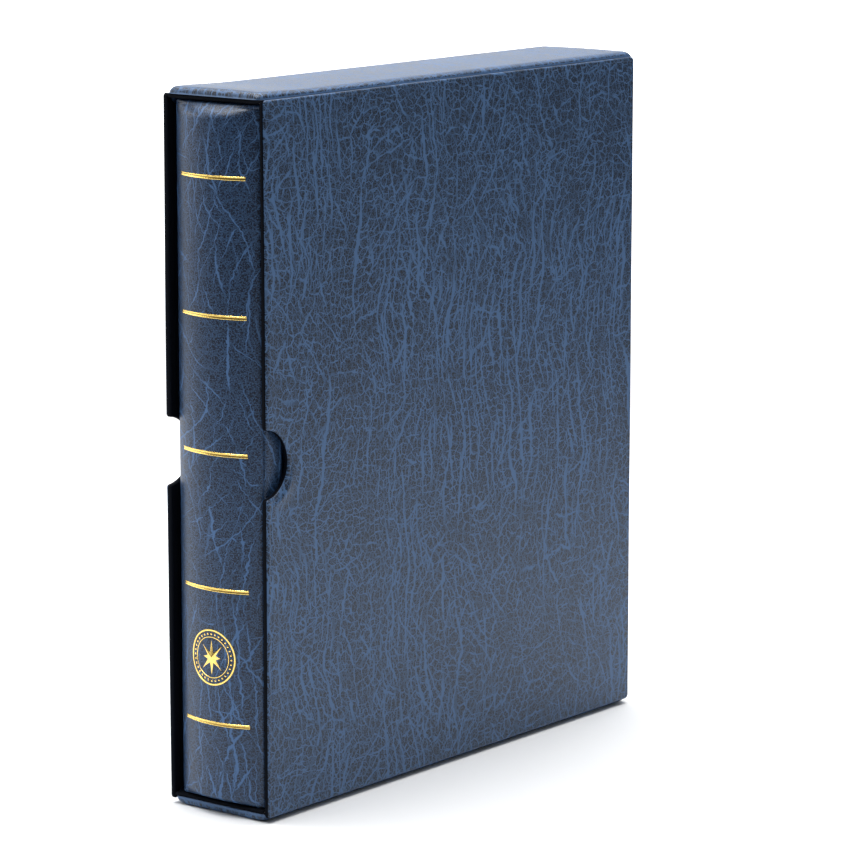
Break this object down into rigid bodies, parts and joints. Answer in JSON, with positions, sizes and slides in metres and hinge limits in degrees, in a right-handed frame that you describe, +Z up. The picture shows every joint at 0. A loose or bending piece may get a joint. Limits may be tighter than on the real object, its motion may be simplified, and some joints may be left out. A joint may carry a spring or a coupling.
{
  "type": "coin album",
  "caption": "Ring binder for coins with a rounded, gilt-banded spine and clear pages, standing in an open-fronted padded slipcase with thumb notches, all in blue leatherette.",
  "frame": {"origin": "middle of the object's footprint, on the surface that it stands on", "axes": "+Z up, X through the thickness, the binder's spine and the slipcase's mouth face -Y"},
  "size_m": [0.0504, 0.2446, 0.2799],
  "materials": {
    "case_leatherette": "grained leatherette",
    "binder_leatherette": "fine-grained leatherette",
    "greyboard": "matt",
    "lining_paper": "matt",
    "endpaper": "matt",
    "hinge_cloth": "woven",
    "gold_foil": "satin",
    "spring_steel": "satin",
    "bright_nickel": "polished",
    "pocket_film": "clear",
    "interleaf_card": "matt"
  },
  "bodies": {
    "slipcase": {"case_cover_right": "case_leatherette", "case_board_right": "greyboard", "case_lining_right": "lining_paper", "case_cover_left": "case_leatherette", "case_board_left": "greyboard", "case_lining_left": "lining_paper", "case_board_bottom": "greyboard", "case_board_top": "greyboard", "case_board_back": "greyboard", "case_lining_band": "lining_paper", "case_strip": "case_leatherette"},
    "binder": {"album_cover": "binder_leatherette", "cover_board_front": "greyboard", "cover_board_back": "greyboard", "spine_board": "greyboard", "hinge_strip_front": "hinge_cloth", "hinge_strip_back": "hinge_cloth", "album_lining": "endpaper", "spine_medallion": "gold_foil", "foil_band_1": "gold_foil", "foil_band_2": "gold_foil", "foil_band_3": "gold_foil", "foil_band_4": "gold_foil", "foil_band_5": "gold_foil", "ring_rail": "spring_steel", "rail_rivet_top": "bright_nickel", "rail_rivet_bottom": "bright_nickel", "lever_pin_top": "spring_steel", "lever_pin_bottom": "spring_steel", "coin_page_1": "pocket_film", "coin_page_2": "pocket_film", "coin_page_3": "pocket_film", "coin_page_4": "pocket_film", "interleaf_1": "interleaf_card", "interleaf_2": "interleaf_card", "interleaf_3": "interleaf_card", "interleaf_4": "interleaf_card"},
    "left_rings": {"ring_blade_left": "spring_steel", "half_ring_left_1": "bright_nickel", "half_ring_left_2": "bright_nickel", "half_ring_left_3": "bright_nickel", "half_ring_left_4": "bright_nickel"},
    "right_rings": {"ring_blade_right": "spring_steel", "half_ring_right_1": "bright_nickel", "half_ring_right_2": "bright_nickel", "half_ring_right_3": "bright_nickel", "half_ring_right_4": "bright_nickel"},
    "top_lever": {"ring_lever_top": "bright_nickel"},
    "bottom_lever": {"ring_lever_bottom": "bright_nickel"}
  },
  "joints": [
    {"name": "binder_slide", "type": "slide", "parent": "slipcase", "child": "binder", "axis": [0, -1, 0], "range_m": [0, 0.26]},
    {"name": "left_rings_open", "type": "hinge", "parent": "binder", "child": "left_rings", "pos_m": [-0.0073, -0.11593, 0.14015], "axis": [0, 0, 1], "range_deg": [0, 10]},
    {"name": "right_rings_open", "type": "hinge", "parent": "binder", "child": "right_rings", "pos_m": [0.0073, -0.11593, 0.14015], "axis": [0, 0, 1], "range_deg": [-10, 0]},
    {"name": "top_lever_press", "type": "hinge", "parent": "binder", "child": "top_lever", "pos_m": [0, -0.11482, 0.23435], "axis": [1, 0, 0], "range_deg": [0, 16]},
    {"name": "bottom_lever_press", "type": "hinge", "parent": "binder", "child": "bottom_lever", "pos_m": [0, -0.11482, 0.04595], "axis": [1, 0, 0], "range_deg": [-16, 0]}
  ],
  "couplings": [
    {"joint": "right_rings_open", "follows": "left_rings_open", "ratio": -1},
    {"joint": "top_lever_press", "follows": "left_rings_open", "ratio": 1.6},
    {"joint": "bottom_lever_press", "follows": "left_rings_open", "ratio": -1.6}
  ]
}
